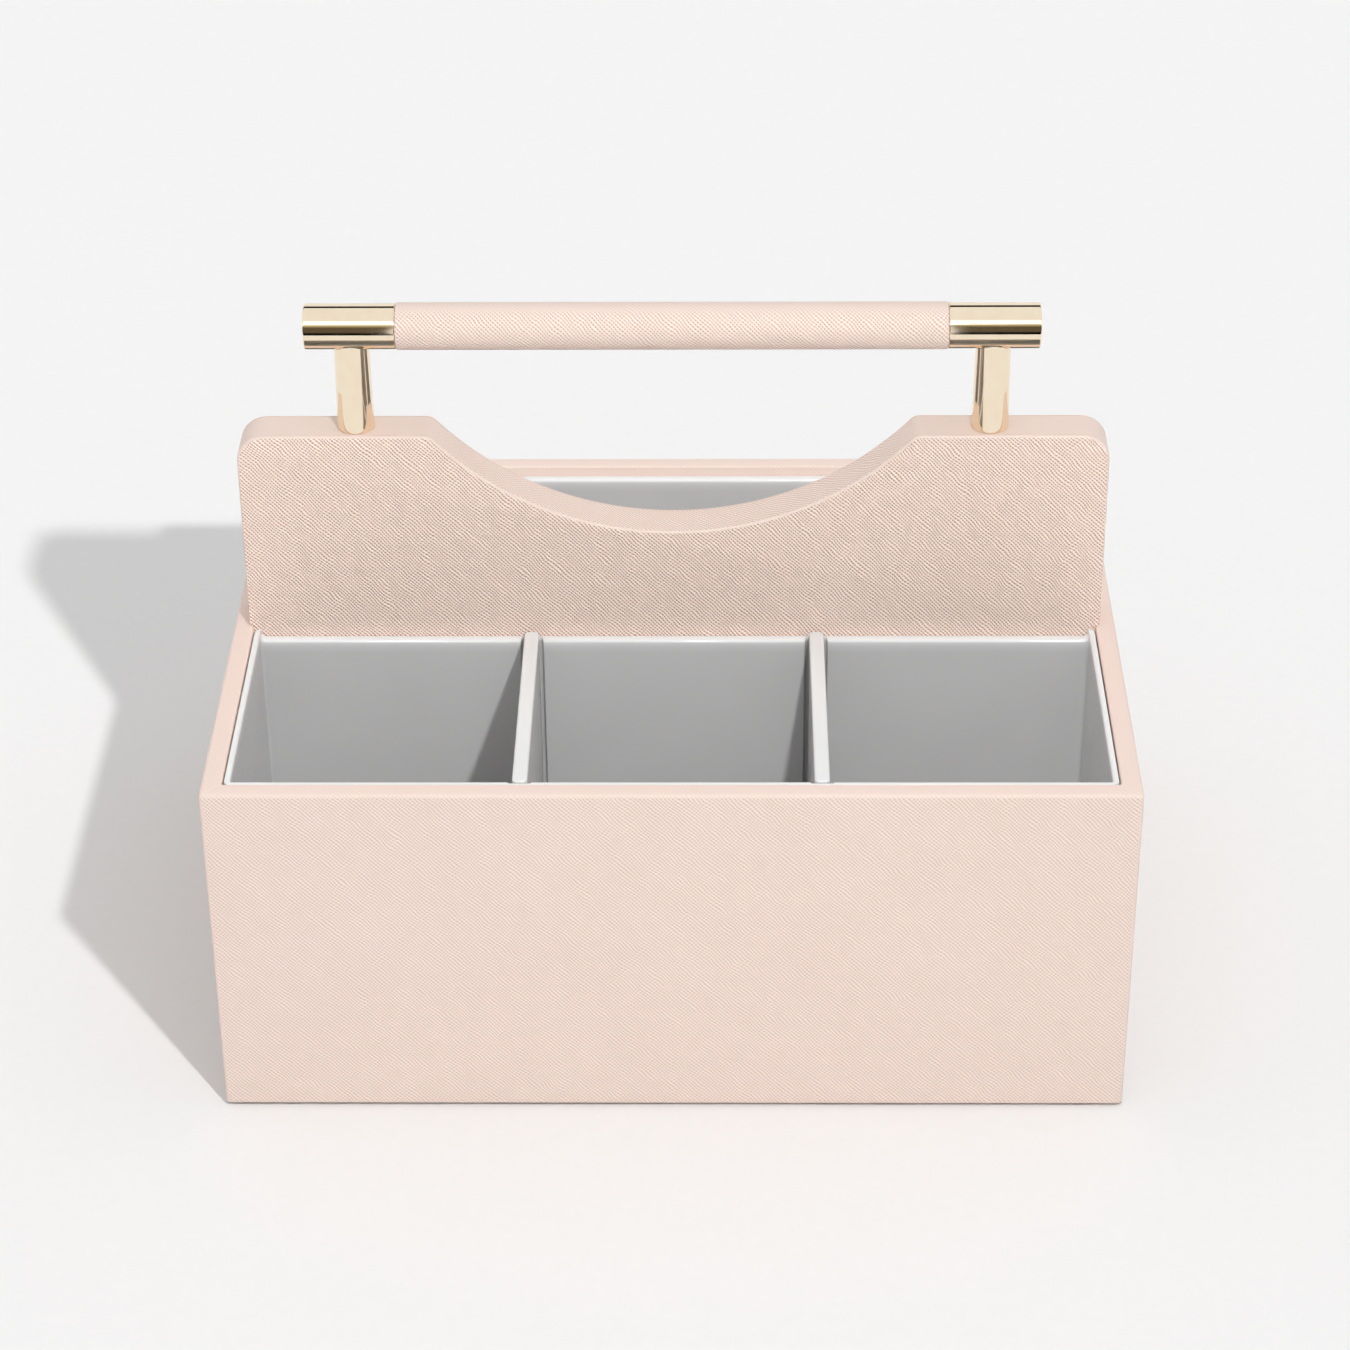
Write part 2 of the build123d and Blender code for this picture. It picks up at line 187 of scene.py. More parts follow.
# Name, finish, lowest and highest corner of each panel. Two flags with a gap between them stand in front,
# with a softbox above them, another softbox hangs overhead, and a third flag stands behind.
PANELS = (
    ("left_flag", "shaded_flag", (-SPREAD, AHEAD, 0.0), (-0.128, AHEAD, FLAG_TOP)),
    ("right_flag", "shaded_flag", (0.113, AHEAD, 0.0), (SPREAD, AHEAD, FLAG_TOP)),
    ("back_flag", "black_flag", (-SPREAD, 2.0, 1.6), (SPREAD, 2.0, 2.6)),
    ("front_softbox", "bright_diffuser", (-SPREAD, AHEAD, 0.567), (SPREAD, AHEAD, 0.896)),
    ("top_softbox", "soft_diffuser", (-SPREAD, -0.81, 1.5), (SPREAD, 0.88, 1.5)),
)

# Nodes of the handle, which casts no shadow on the floor
HANDLE_NODES = (
    "left_post",
    "right_post",
    "left_ferrule",
    "right_ferrule",
    "grip_tube",
    "post_hanger_bolts",
    "ferrule_grub_screws",
)

# Places that follow from the frame
wrap_low, wrap_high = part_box("outer_wrap")
grip_low, grip_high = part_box("grip_wrap")
band_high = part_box("partition_edge_band")[1]
base_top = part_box("base_board")[1].z
rim = wrap_high.z
inner_half_width = -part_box("left_board")[1].x - LEATHER
wall = wrap_high.x - inner_half_width
scoop_half_width = band_high.x - SHOULDER_LAND
scoop_radius = (scoop_half_width**2 + SCOOP_DEPTH**2) / (2 * SCOOP_DEPTH)
scoop_centre = Vector((0, 0, band_high.z - SCOOP_DEPTH + scoop_radius))
scoop_half_angle = asin(scoop_half_width / scoop_radius)
face_depth = -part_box("partition_front_cover")[0].y  # middle of the partition to its faces
seam_depth = face_depth - COVER_EDGE_ROUND - COVER_LAP


def linear(code):
    """Linear RGBA of an sRGB hex colour."""
    channels = [int(code[place:place + 2], 16) / 255 for place in (1, 3, 5)]
    return [c / 12.92 if c <= 0.04045 else ((c + 0.055) / 1.055) ** 2.4 for c in channels] + [1.0]


def add_node(tree, kind, inputs=None, **settings):
    """Add a shader node: settings are its properties, and inputs take values, sockets or other nodes."""
    node = tree.nodes.new("ShaderNode" + kind)
    for name, value in settings.items():
        setattr(node, name, value)
    for name, value in (inputs or {}).items():
        socket = next(s for s in node.inputs if s.identifier == name)
        if isinstance(value, bpy.types.Node):
            value = next(s for s in value.outputs if s.enabled)
        if isinstance(value, bpy.types.NodeSocket):
            tree.links.new(value, socket)
        else:
            socket.default_value = value
    return node


def empty_tree(holder):
    """The node tree of a material, lamp or world, with nothing in it."""
    holder.use_nodes = True
    holder.node_tree.nodes.clear()
    return holder.node_tree


def make_material(name, finish):
    """A material whose finish function adds its pattern and returns the Principled shader's inputs."""
    material = bpy.data.materials.new(name)
    tree = empty_tree(material)
    shader = add_node(tree, "BsdfPrincipled", finish(tree))
    add_node(tree, "OutputMaterial", {"Surface": shader})
    return material


def per_size(millimetres):
    """Scale of a noise pattern whose features are about that large."""
    return 1 / (millimetres * MM)


def per_line(millimetres):
    """Scale of a wave pattern whose lines lie that far apart."""
    return 2 * pi / (WAVE_PHASE * millimetres * MM)


def embossed_leather(tree):
    # Polyurethane-coated leather, pressed with a plate of crossed diagonal lines: a net of fine raised
    # lines catches the light, stronger in one direction, and its colour is painted paler on the lines and
    # darker in the diamonds between them, as painted highlight and painted shade.
    # The lines wander a little, and the press bites unevenly from place to place. Where the press is light,
    # on the rims, shoulder tops, rolled edges and the worn top of the grip, the leather is smoother and is
    # painted paler, as a painted highlight; where the press is deepest, its heat has warmed the dye. The
    # real lines lie 0.8 mm apart and are drawn slightly coarser, so that they show in the render.
    layout = add_node(tree, "UVMap", uv_map="cut")
    turned = add_node(tree, "Mapping", {"Vector": layout, "Rotation": (0, 0, radians(45))})
    waver = {
        "Vector": turned,
        "Scale": per_line(EMBOSS_PITCH),
        "Distortion": 6.0,
        "Detail": 1.0,
        "Detail Scale": 0.5,
    }
    ridges = add_node(tree, "TexWave", waver, wave_type="BANDS", bands_direction="Y").outputs["Fac"]
    cuts = add_node(tree, "TexWave", waver, wave_type="BANDS", bands_direction="X").outputs["Fac"]
    bite = add_node(tree, "TexNoise", {"Vector": layout, "Scale": per_size(5.0), "Detail": 2.0})
    uneven = add_node(tree, "MapRange", {"Value": bite, "From Min": 0.3, "From Max": 0.7, "To Min": 0.7})
    kept = add_node(tree, "Attribute", attribute_name="press").outputs["Fac"]
    press = add_node(tree, "Math", {"Value": uneven, "Value_001": kept}, operation="MULTIPLY")
    gaps = add_node(tree, "Math", {"Value": 1.0, "Value_001": ridges}, operation="SUBTRACT")
    bridged = add_node(
        tree,
        "Math",
        {"Value": cuts, "Value_001": -CROSSING_SHARE, "Value_002": 1.0},
        operation="MULTIPLY_ADD",
    )
    sunk = add_node(tree, "Math", {"Value": gaps, "Value_001": bridged}, operation="MULTIPLY")
    # Heights count from the unpressed surface, so that a weak press hardly changes the leather's mean tone.
    raised = add_node(tree, "Math", {"Value": CREST_HEIGHT, "Value_001": sunk}, operation="SUBTRACT")
    height = add_node(tree, "Math", {"Value": raised, "Value_001": press}, operation="MULTIPLY")
    cloud = add_node(tree, "TexNoise", {"Vector": layout, "Scale": per_size(35.0), "Detail": 2.0})
    # Painted highlight: where the press is light, on rims, shoulder tops, rolled edges and the grip's worn
    # top, the leather is painted paler.
    painted_highlight = add_node(
        tree, "MapRange", {"Value": kept, "From Max": 0.85, "To Min": 0.69, "To Max": 0.63}
    )
    mottle_and_painted_highlight = add_node(
        tree,
        "Math",
        {"Value": cloud, "Value_001": 0.08, "Value_002": painted_highlight},
        operation="MULTIPLY_ADD",
    )
    # Painted highlight and shade: the emboss's heights make its lines paler and its diamonds darker.
    tone = add_node(tree, "Math", {"Value": mottle_and_painted_highlight, "Value_001": height}, operation="ADD")
    heat = add_node(tree, "MapRange", {"Value": kept, "From Min": BOX_PRESS, "From Max": FACE_PRESS})
    deep = add_node(
        tree,
        "Mix",
        {"Factor_Float": heat, "A_Color": linear("#CFA28A"), "B_Color": linear("#D4A288")},
        data_type="RGBA",
    )
    pale = add_node(
        tree,
        "Mix",
        {"Factor_Float": heat, "A_Color": linear("#F6E7DF"), "B_Color": linear("#FBE7DC")},
        data_type="RGBA",
    )
    colour = add_node(
        tree,
        "Mix",
        {"Factor_Float": tone, "A_Color": deep, "B_Color": pale},
        data_type="RGBA",
        clamp_factor=False,
    )
    sheen = add_node(
        tree,
        "MapRange",
        {"Value": height, "From Min": -0.5, "From Max": 0.5, "To Min": 0.62, "To Max": 0.45},
    )
    relief = add_node(tree, "Bump", {"Height": height, "Strength": 1.0, "Distance": EMBOSS_RELIEF})
    return {"Base Color": colour, "Roughness": sheen, "Normal": relief, "IOR": 1.46}


def gold_plate(tree):
    # Turned brass, buffed and plated in a light gold: a mirror with a trace of buffing haze in it.
    place = add_node(tree, "TexCoord").outputs["Object"]
    haze = add_node(tree, "TexNoise", {"Vector": place, "Scale": per_size(4.0), "Detail": 3.0})
    colour = add_node(
        tree,
        "Mix",
        {"Factor_Float": haze, "A_Color": linear("#F6E3C6"), "B_Color": linear("#FCEED8")},
        data_type="RGBA",
    )
    buffing = add_node(tree, "MapRange", {"Value": haze, "To Min": 0.03, "To Max": 0.07})
    return {"Base Color": colour, "Metallic": 1.0, "Roughness": buffing}


def polystyrene(tree):
    # Injection-moulded polystyrene from a polished tool: mid grey and glossy, with faint flow marks that
    # make its reflections waver, and a painted highlight that turns its rims nearly white.
    place = add_node(tree, "TexCoord").outputs["Object"]
    flow = add_node(tree, "TexNoise", {"Vector": place, "Scale": per_size(30.0), "Detail": 1.0})
    grain = add_node(tree, "TexNoise", {"Vector": place, "Scale": per_size(1.5), "Detail": 3.0})
    walls = add_node(
        tree,
        "Mix",
        {"Factor_Float": flow, "A_Color": linear("#C6C6C6"), "B_Color": linear("#CECECE")},
        data_type="RGBA",
    )
    # Painted highlight on the rims, fading down the walls
    highlighted = add_node(tree, "Attribute", attribute_name="rim_highlight").outputs["Fac"]
    colour = add_node(
        tree,
        "Mix",
        {"Factor_Float": highlighted, "A_Color": walls, "B_Color": linear("#EFF1F1")},
        data_type="RGBA",
    )
    gloss = add_node(tree, "MapRange", {"Value": grain, "To Min": 0.16, "To Max": 0.26})
    ripple = add_node(tree, "Bump", {"Height": flow, "Strength": 0.25, "Distance": 0.3 * MM})
    return {"Base Color": colour, "Roughness": gloss, "Normal": ripple, "IOR": 1.55}


def needle_felt(tree):
    # Needle-punched felt: a short matt nap of tangled fibres, paler where the tips stand up.
    place = add_node(tree, "TexCoord").outputs["Object"]
    fibres = add_node(
        tree, "TexNoise", {"Vector": place, "Scale": per_size(0.8), "Detail": 5.0, "Roughness": 0.7}
    )
    clumps = add_node(tree, "TexNoise", {"Vector": place, "Scale": per_size(9.0), "Detail": 2.0})
    nap = add_node(
        tree, "Math", {"Value": clumps, "Value_001": 0.4, "Value_002": fibres}, operation="MULTIPLY_ADD"
    )
    tips = add_node(tree, "MapRange", {"Value": nap, "From Min": 0.45, "From Max": 0.95})
    colour = add_node(
        tree,
        "Mix",
        {"Factor_Float": tips, "A_Color": linear("#A98F83"), "B_Color": linear("#D8C1B5")},
        data_type="RGBA",
    )
    pile = add_node(tree, "Bump", {"Height": fibres, "Strength": 0.8, "Distance": 0.25 * MM})
    return {
        "Base Color": colour,
        "Roughness": 0.95,
        "Normal": pile,
        "Sheen Weight": 0.4,
        "Sheen Roughness": 0.6,
    }


def fibreboard(tree):
    # Raw medium-density fibreboard: pressed wood flour, brown and matt, flecked with longer fibres.
    place = add_node(tree, "TexCoord").outputs["Object"]
    flour = add_node(tree, "TexNoise", {"Vector": place, "Scale": per_size(0.9), "Detail": 5.0})
    flecks = add_node(tree, "TexVoronoi", {"Vector": place, "Scale": per_size(2.5), "Randomness": 1.0})
    mixed = add_node(
        tree, "Math", {"Value": flecks, "Value_001": 0.35, "Value_002": flour}, operation="MULTIPLY_ADD"
    )
    tone = add_node(tree, "MapRange", {"Value": mixed, "From Min": 0.3, "From Max": 0.95})
    colour = add_node(
        tree,
        "Mix",
        {"Factor_Float": tone, "A_Color": linear("#8A6B4E"), "B_Color": linear("#C2A27F")},
        data_type="RGBA",
    )
    pores = add_node(tree, "Bump", {"Height": flour, "Strength": 0.4, "Distance": 0.1 * MM})
    return {"Base Color": colour, "Roughness": 0.85, "Normal": pores}


def grey_card(tree):
    # Grey pasteboard from recycled pulp: flat grey-buff with dark and pale specks.
    place = add_node(tree, "TexCoord").outputs["Object"]
    pulp = add_node(tree, "TexNoise", {"Vector": place, "Scale": per_size(1.2), "Detail": 4.0})
    tone = add_node(tree, "MapRange", {"Value": pulp, "From Min": 0.3, "From Max": 0.7})
    colour = add_node(
        tree,
        "Mix",
        {"Factor_Float": tone, "A_Color": linear("#8F8B84"), "B_Color": linear("#B3AEA5")},
        data_type="RGBA",
    )
    tooth = add_node(tree, "Bump", {"Height": pulp, "Strength": 0.3, "Distance": 0.05 * MM})
    return {"Base Color": colour, "Roughness": 0.9, "Normal": tooth}


def zinc_plated_steel(tree):
    # Drawn and turned steel with bright zinc: cool grey metal, satin, with a slightly cloudy plating.
    place = add_node(tree, "TexCoord").outputs["Object"]
    cloud = add_node(tree, "TexNoise", {"Vector": place, "Scale": per_size(2.0), "Detail": 3.0})
    colour = add_node(
        tree,
        "Mix",
        {"Factor_Float": cloud, "A_Color": linear("#B4B7BA"), "B_Color": linear("#D0D3D6")},
        data_type="RGBA",
    )
    satin = add_node(tree, "MapRange", {"Value": cloud, "To Min": 0.24, "To Max": 0.42})
    return {"Base Color": colour, "Metallic": 1.0, "Roughness": satin}


# The finish of each material slot in the record
finishes = {
    "blush_leather": make_material("embossed_polyurethane_leather", embossed_leather),
    "gold_plate": make_material("light_gold_plate", gold_plate),
    "tray_plastic": make_material("moulded_polystyrene", polystyrene),
    "felt": make_material("needle_felt", needle_felt),
    "fibreboard": make_material("raw_fibreboard", fibreboard),
    "card": make_material("grey_pasteboard", grey_card),
    "steel": make_material("zinc_plated_steel", zinc_plated_steel),
}


def finish_frame():
    """Give each CAD node the finish of its material slot."""
    for subpart in frame["record"]["subparts"]:
        for slot in frame["nodes"][subpart["node"]].material_slots:
            slot.material = finishes[subpart["material_slot"]]


def add_object(name, bm, material):
    """Turn a bmesh into an object of one material."""
    mesh = bpy.data.meshes.new(name)
    bm.to_mesh(mesh)
    bm.free()
    mesh.materials.append(material)
    made = bpy.data.objects.new(name, mesh)
    bpy.context.scene.collection.objects.link(made)
    return made


def make_piece(name, bm, slot, body, stands_for, sharp=SHARP_EDGE):
    """Turn a bmesh into a piece that rides on a body and stands for CAD nodes."""
    for face in bm.faces:
        face.smooth = True
    for edge in bm.edges:
        edge.smooth = edge.calc_face_angle(pi) < sharp
    piece = add_object(name, bm, finishes[slot])
    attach(piece, body)
    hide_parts(*stands_for)
    return piece


def thicken(piece, thickness):
    """Give a sheet its thickness, on the side away from what is seen."""
    modifier = piece.modifiers.new("thickness", "SOLIDIFY")
    modifier.thickness = thickness
    modifier.offset = -1.0
    modifier.use_even_offset = True


def lay_pattern(bm, press_at):
    """Lay the leather's pattern on each face in metres, as seen square to the side that it faces."""
    press = bm.verts.layers.float.new("press")
    for vert in bm.verts:
        vert[press] = press_at(vert.co)
    layer = bm.loops.layers.uv.new("cut")
    for face in bm.faces:
        axis = max(range(3), key=lambda place: abs(face.normal[place]))
        outward = 1 if face.normal[axis] > 0 else -1
        for loop in face.loops:
            x, y, z = loop.vert.co
            loop[layer].uv = ((outward * y, z), (-outward * x, z), (outward * x, y))[axis]


def turn_out(bm, seen_face, direction):
    """Make all faces agree, with one face towards a direction."""
    bmesh.ops.recalc_face_normals(bm, faces=bm.faces)
    if seen_face.normal.dot(direction) < 0:
        bmesh.ops.reverse_faces(bm, faces=bm.faces)


def round_off(bm, parts, radius, steps, affect="EDGES"):
    """Round edges or corners to a radius."""
    bmesh.ops.bevel(
        bm, geom=parts, offset=radius, segments=steps, profile=0.5, affect=affect, material=-1
    )


def ease(share):
    """A smooth step from 0 to 1."""
    share = min(max(share, 0.0), 1.0)
    return share * share * (3 - 2 * share)


def quarter(steps):
    """Sine and cosine at even steps of a quarter turn."""
    return [(sin(pi / 2 * step / steps), cos(pi / 2 * step / steps)) for step in range(steps + 1)]


def level_outline(bm, low, high, height, corner, steps):
    """A level face with rounded corners."""
    places = ((low.x, low.y), (high.x, low.y), (high.x, high.y), (low.x, high.y))
    corners = [bm.verts.new((x, y, height)) for x, y in places]
    bm.faces.new(corners)
    round_off(bm, corners, corner, steps, "VERTICES")
    bm.faces.ensure_lookup_table()
    return bm.faces[0]


def sweep_ring(bm, edges, low, high, stations):
    """Extrude a level ring through stations of (inset from low and high, height).

    Returns the vertices and the edges of each ring that it makes.
    """
    centre = (low + high) / 2
    half = (high - low) / 2
    inset, height = stations[0]
    rings = []
    for next_inset, next_height in stations[1:]:
        made = bmesh.ops.extrude_edge_only(bm, edges=edges)["geom"]
        ring = {part for part in made if isinstance(part, bmesh.types.BMVert)}
        lines = [part for part in made if isinstance(part, bmesh.types.BMEdge)]
        edges = [line for line in lines if ring.issuperset(line.verts)]
        growth = [(half[axis] - next_inset) / (half[axis] - inset) for axis in (0, 1)]
        middle = Matrix.Translation((-centre.x, -centre.y, 0))
        bmesh.ops.scale(bm, vec=(*growth, 1), verts=list(ring), space=middle)
        bmesh.ops.translate(bm, vec=(0, 0, next_height - height), verts=list(ring))
        inset, height = next_inset, next_height
        rings.append((ring, edges))
    return rings


def crease_corners(ring, depth):
    """Press the middle of each rounded corner of a ring down, as the fold line of a mitred wrap."""
    for across, along in ((-1, -1), (-1, 1), (1, -1), (1, 1)):
        middle = max(ring, key=lambda v: across * v.co.x + along * v.co.y)
        middle.co.z -= depth


def wrap_box():
    """Leather around the box: under the bottom edge, up the outside, over the rim and down the inside."""
    foot = wrap_low.z
    under = [(TURN_UNDER, foot)]
    outer = quarter(BOX_EDGE_STEPS)
    inner = quarter(RIM_INNER_STEPS)
    foot_edge = [(BOX_EDGE_ROUND * (1 - s), foot + BOX_EDGE_ROUND * (1 - c)) for s, c in outer]
    rim_edge = [(BOX_EDGE_ROUND * (1 - c), rim - BOX_EDGE_ROUND * (1 - s)) for s, c in outer]
    inner_edge = [(wall - RIM_INNER_ROUND * (1 - s), rim - RIM_INNER_ROUND * (1 - c)) for s, c in inner]
    stations = under + foot_edge + rim_edge + inner_edge + [(wall, base_top)]
    bm = bmesh.new()
    turn = Vector((TURN_UNDER, TURN_UNDER, 0))
    face = level_outline(bm, wrap_low + turn, wrap_high - turn, foot, BOX_EDGE_ROUND, BOX_CORNER_STEPS)
    edges = list(face.edges)
    bmesh.ops.delete(bm, geom=[face], context="FACES_ONLY")
    rings = sweep_ring(bm, edges, wrap_low, wrap_high, stations)
    for ring, _ in rings:
        if max(v.co.z for v in ring) > rim - TOUCH:
            crease_corners(ring, MITRE_CREASE)
    outside = max(bm.faces, key=lambda f: f.calc_center_median().x)
    turn_out(bm, outside, Vector((1, 0, 0)))
    side = wrap_high.x - TOUCH
    end = wrap_high.y - TOUCH
    lay_pattern(bm, lambda place: BOX_PRESS if abs(place.x) > side or abs(place.y) > end else RIM_PRESS)
    piece = make_piece("box_leather", bm, "blush_leather", "carcass", ["outer_wrap"])
    thicken(piece, LEATHER)


def partition_face(bm, depth, foot_half_width, foot):
    """The partition's outline as an upright face at one depth, down to a foot."""
    left = [(-band_high.x, rim), (-band_high.x, band_high.z)]
    if foot < rim:
        left = [(-foot_half_width, foot), (-foot_half_width, rim)] + left
    lip = bm.verts.new((-scoop_half_width, depth, band_high.z))
    bmesh.ops.spin(
        bm,
        geom=[lip],
        cent=scoop_centre + Vector((0, depth, 0)),
        axis=(0, -1, 0),
        angle=2 * scoop_half_angle,
        steps=SCOOP_STEPS,
    )
    scoop = list(bm.verts)
    left_side = [bm.verts.new((x, depth, z)) for x, z in left]
    right_side = [bm.verts.new((-x, depth, z)) for x, z in reversed(left)]
    bm.faces.new(left_side + scoop + right_side)
    lips = [scoop[0], scoop[-1]]
    shoulders = [left_side[-1], right_side[0]]
    feet = [left_side[-2], right_side[1]]
    round_off(bm, shoulders, SHOULDER_ROUND, SHOULDER_STEPS, "VERTICES")
    round_off(bm, lips, SCOOP_LIP_ROUND * tan(scoop_half_angle / 2), SCOOP_LIP_STEPS, "VERTICES")
    round_off(bm, feet, FOOT_ROUND, FOOT_STEPS, "VERTICES")
    bm.faces.ensure_lookup_table()
    return bm.faces[0]


def draw_face(bm, face, shift):
    """Extrude a face by a shift and leave the start open; returns the face at the far end."""
    made = bmesh.ops.extrude_face_region(bm, geom=[face])["geom"]
    bmesh.ops.delete(bm, geom=[face], context="FACES_ONLY")
    moved = [part for part in made if isinstance(part, bmesh.types.BMVert)]
    bmesh.ops.translate(bm, vec=shift, verts=moved)
    return next(part for part in made if isinstance(part, bmesh.types.BMFace))


def cover_partition(name, node, side):
    """Leather on one face of the partition, rolled over its edge up to the seam with the edge band."""
    bm = bmesh.new()
    start = partition_face(bm, side * seam_depth, inner_half_width, base_top)
    face = draw_face(bm, start, (0, side * (face_depth - seam_depth), 0))
    buried = [f for f in bm.faces if f != face and max(v.co.z for v in f.verts) < rim + TOUCH]
    bmesh.ops.delete(bm, geom=buried, context="FACES")
    above = rim + FOOT_ROUND - TOUCH
    edges = [e for e in face.edges if min(v.co.z for v in e.verts) > above]
    round_off(bm, edges, COVER_EDGE_ROUND, COVER_EDGE_STEPS)
    turn_out(bm, max(bm.faces, key=lambda f: f.calc_area()), Vector((0, side, 0)))
    lay_pattern(bm, lambda place: FACE_PRESS if abs(place.y) > face_depth - TOUCH else EDGE_PRESS)
    piece = make_piece(name, bm, "blush_leather", "carcass", [node])
    thicken(piece, LEATHER)


def band_partition():
    """Padded leather band around the partition's edge, between the two rolled covers."""
    half = seam_depth - SEAM_GAP
    bm = bmesh.new()
    start = partition_face(bm, half, band_high.x, rim)
    far = draw_face(bm, start, (0, -2 * half, 0))
    sole = [f for f in bm.faces if max(v.co.z for v in f.verts) < rim + TOUCH]
    bmesh.ops.delete(bm, geom=[far] + sole, context="FACES")
    uppermost = max(bm.faces, key=lambda f: f.calc_center_median().z)
    turn_out(bm, uppermost, Vector((0, 0, 1)))
    gain = SCOOP_PRESS - SHOULDER_PRESS
    top = band_high.z
    lay_pattern(bm, lambda place: SHOULDER_PRESS + gain * ease((top - place.z) / PRESS_FADE))
    piece = make_piece("partition_edge_leather", bm, "blush_leather", "carcass", ["partition_edge_band"])
    thicken(piece, EDGE_BAND)
    seam = piece.modifiers.new("seam_edges", "BEVEL")
    seam.width = SEAM_ROUND
    seam.segments = SEAM_STEPS
    seam.limit_method = "ANGLE"
    seam.angle_limit = SEAM_ANGLE


def lay_grip_pattern(bm, axis, radius, down):
    """Lay the leather's pattern around the grip from its seam, worn along the top."""
    press = bm.verts.layers.float.new("press")
    for vert in bm.verts:
        height = (vert.co.z - axis.z) / radius
        worn = ease((height - GRIP_WEAR_START) / (1 - GRIP_WEAR_START))
        vert[press] = GRIP_PRESS + worn * (GRIP_WORN_PRESS - GRIP_PRESS)
    layer = bm.loops.layers.uv.new("cut")
    across = Vector((0, down.z, -down.y))
    for face in bm.faces:
        middle = face.calc_center_median() - axis
        middle_turn = atan2(middle.dot(across), middle.dot(down)) % (2 * pi)
        for loop in face.loops:
            place = loop.vert.co - axis
            turn = atan2(place.dot(across), place.dot(down))
            turn += 2 * pi * round((middle_turn - turn) / (2 * pi))
            loop[layer].uv = (place.x, turn * radius)


def wrap_grip():
    """Leather around the grip, with its butted seam underneath and its ends rolled in at the ferrules."""
    axis = Vector((0, 0, (grip_low.z + grip_high.z) / 2))
    radius = grip_high.y
    down = Vector((0, sin(GRIP_SEAM_TURN), -cos(GRIP_SEAM_TURN)))
    turns = quarter(GRIP_END_STEPS)
    roll = [(GRIP_END_ROLL * (1 - c), radius - GRIP_END_ROLL * (1 - s)) for s, c in turns]
    left_end = [(grip_low.x + inward, reach) for inward, reach in roll]
    profile = left_end + [(-x, reach) for x, reach in reversed(left_end)]
    bm = bmesh.new()
    seam = [bm.verts.new(axis + Vector((x, 0, 0)) + reach * down) for x, reach in profile]
    seam_edges = [bm.edges.new(pair) for pair in zip(seam, seam[1:])]
    bmesh.ops.spin(
        bm,
        geom=seam + seam_edges,
        cent=axis,
        axis=(1, 0, 0),
        angle=2 * pi,
        steps=GRIP_SIDES,
        use_merge=True,
    )
    bmesh.ops.translate(bm, vec=-GRIP_SEAM_DEPTH * down, verts=[v for v in seam if v.is_valid])
    top = max(bm.faces, key=lambda f: f.calc_center_median().z)
    turn_out(bm, top, Vector((0, 0, 1)))
    lay_grip_pattern(bm, axis, radius, down)
    piece = make_piece("grip_leather", bm, "blush_leather", "carcass", ["grip_wrap"], SOFT_EDGE)
    thicken(piece, LEATHER)


def cut_rows(bm, axis, places):
    """Cut rows of edges across a mesh at places along an axis."""
    normal = Vector([1.0 if index == axis else 0.0 for index in range(3)])
    for place in places:
        parts = bm.verts[:] + bm.edges[:] + bm.faces[:]
        bmesh.ops.bisect_plane(bm, geom=parts, plane_co=normal * place, plane_no=normal)


def highlight_at(depth):
    """How far a rim is painted pale as a highlight, at a depth below its top."""
    return max(1 - depth / HIGHLIGHT_DEPTH, 0) ** 2


def tighten_corners(ring, centre, half_width, half_depth):
    """Draw the rounded corners of a level ring out to the tray's tighter inner corner round."""
    for vert in ring:
        across = half_width - abs(vert.co.x - centre.x)
        along = half_depth - abs(vert.co.y - centre.y)
        if max(across, along) < TRAY_CORNER_ROUND + TOUCH:
            pull = 1 - TRAY_INNER_CORNER_ROUND / TRAY_CORNER_ROUND
            vert.co.x += pull * across * (1 if vert.co.x > centre.x else -1)
            vert.co.y += pull * along * (1 if vert.co.y > centre.y else -1)


def sweep_tray(bm, low, high):
    """The shell of a tray: up from its foot, over its rim, down its inside and across its floor."""
    centre = (low + high) / 2
    half_width = (high.x - low.x) / 2
    half_depth = (high.y - low.y) / 2
    floor = low.z + TRAY_FLOOR
    foot = [
        (TRAY_FOOT_ROUND * (1 - s), low.z + TRAY_FOOT_ROUND * (1 - c))
        for s, c in quarter(TRAY_FOOT_STEPS)
    ]
    outer = [
        (TRAY_RIM_OUTER_ROUND * (1 - c), high.z - TRAY_RIM_OUTER_ROUND * (1 - s))
        for s, c in quarter(TRAY_RIM_OUTER_STEPS)
    ]
    inner = [
        (TRAY_WALL - TRAY_RIM_INNER_ROUND * (1 - s), high.z - TRAY_RIM_INNER_ROUND * (1 - c))
        for s, c in quarter(TRAY_RIM_INNER_STEPS)
    ]
    fillet = [
        (TRAY_INSIDE + TRAY_FLOOR_FILLET * (1 - c), floor + TRAY_FLOOR_FILLET * (1 - s))
        for s, c in quarter(TRAY_FLOOR_STEPS)
    ]
    fade = [high.z - HIGHLIGHT_DEPTH, high.z - HIGHLIGHT_DEPTH / 2]
    stations = foot + [(0, level) for level in fade] + outer + inner
    stations += [(TRAY_WALL, level) for level in reversed(fade)] + fillet
    shrink = Vector((TRAY_FOOT_ROUND, TRAY_FOOT_ROUND, 0))
    sole = level_outline(bm, low + shrink, high - shrink, low.z, TRAY_CORNER_ROUND, TRAY_CORNER_STEPS)
    rings = sweep_ring(bm, list(sole.edges), low, high, stations)
    for (ring, _), (inset, _) in zip(rings, stations[1:]):
        if inset > TRAY_FOOT_ROUND:
            tighten_corners(ring, centre, half_width - inset, half_depth - inset)
    bmesh.ops.contextual_create(bm, geom=rings[-1][1])


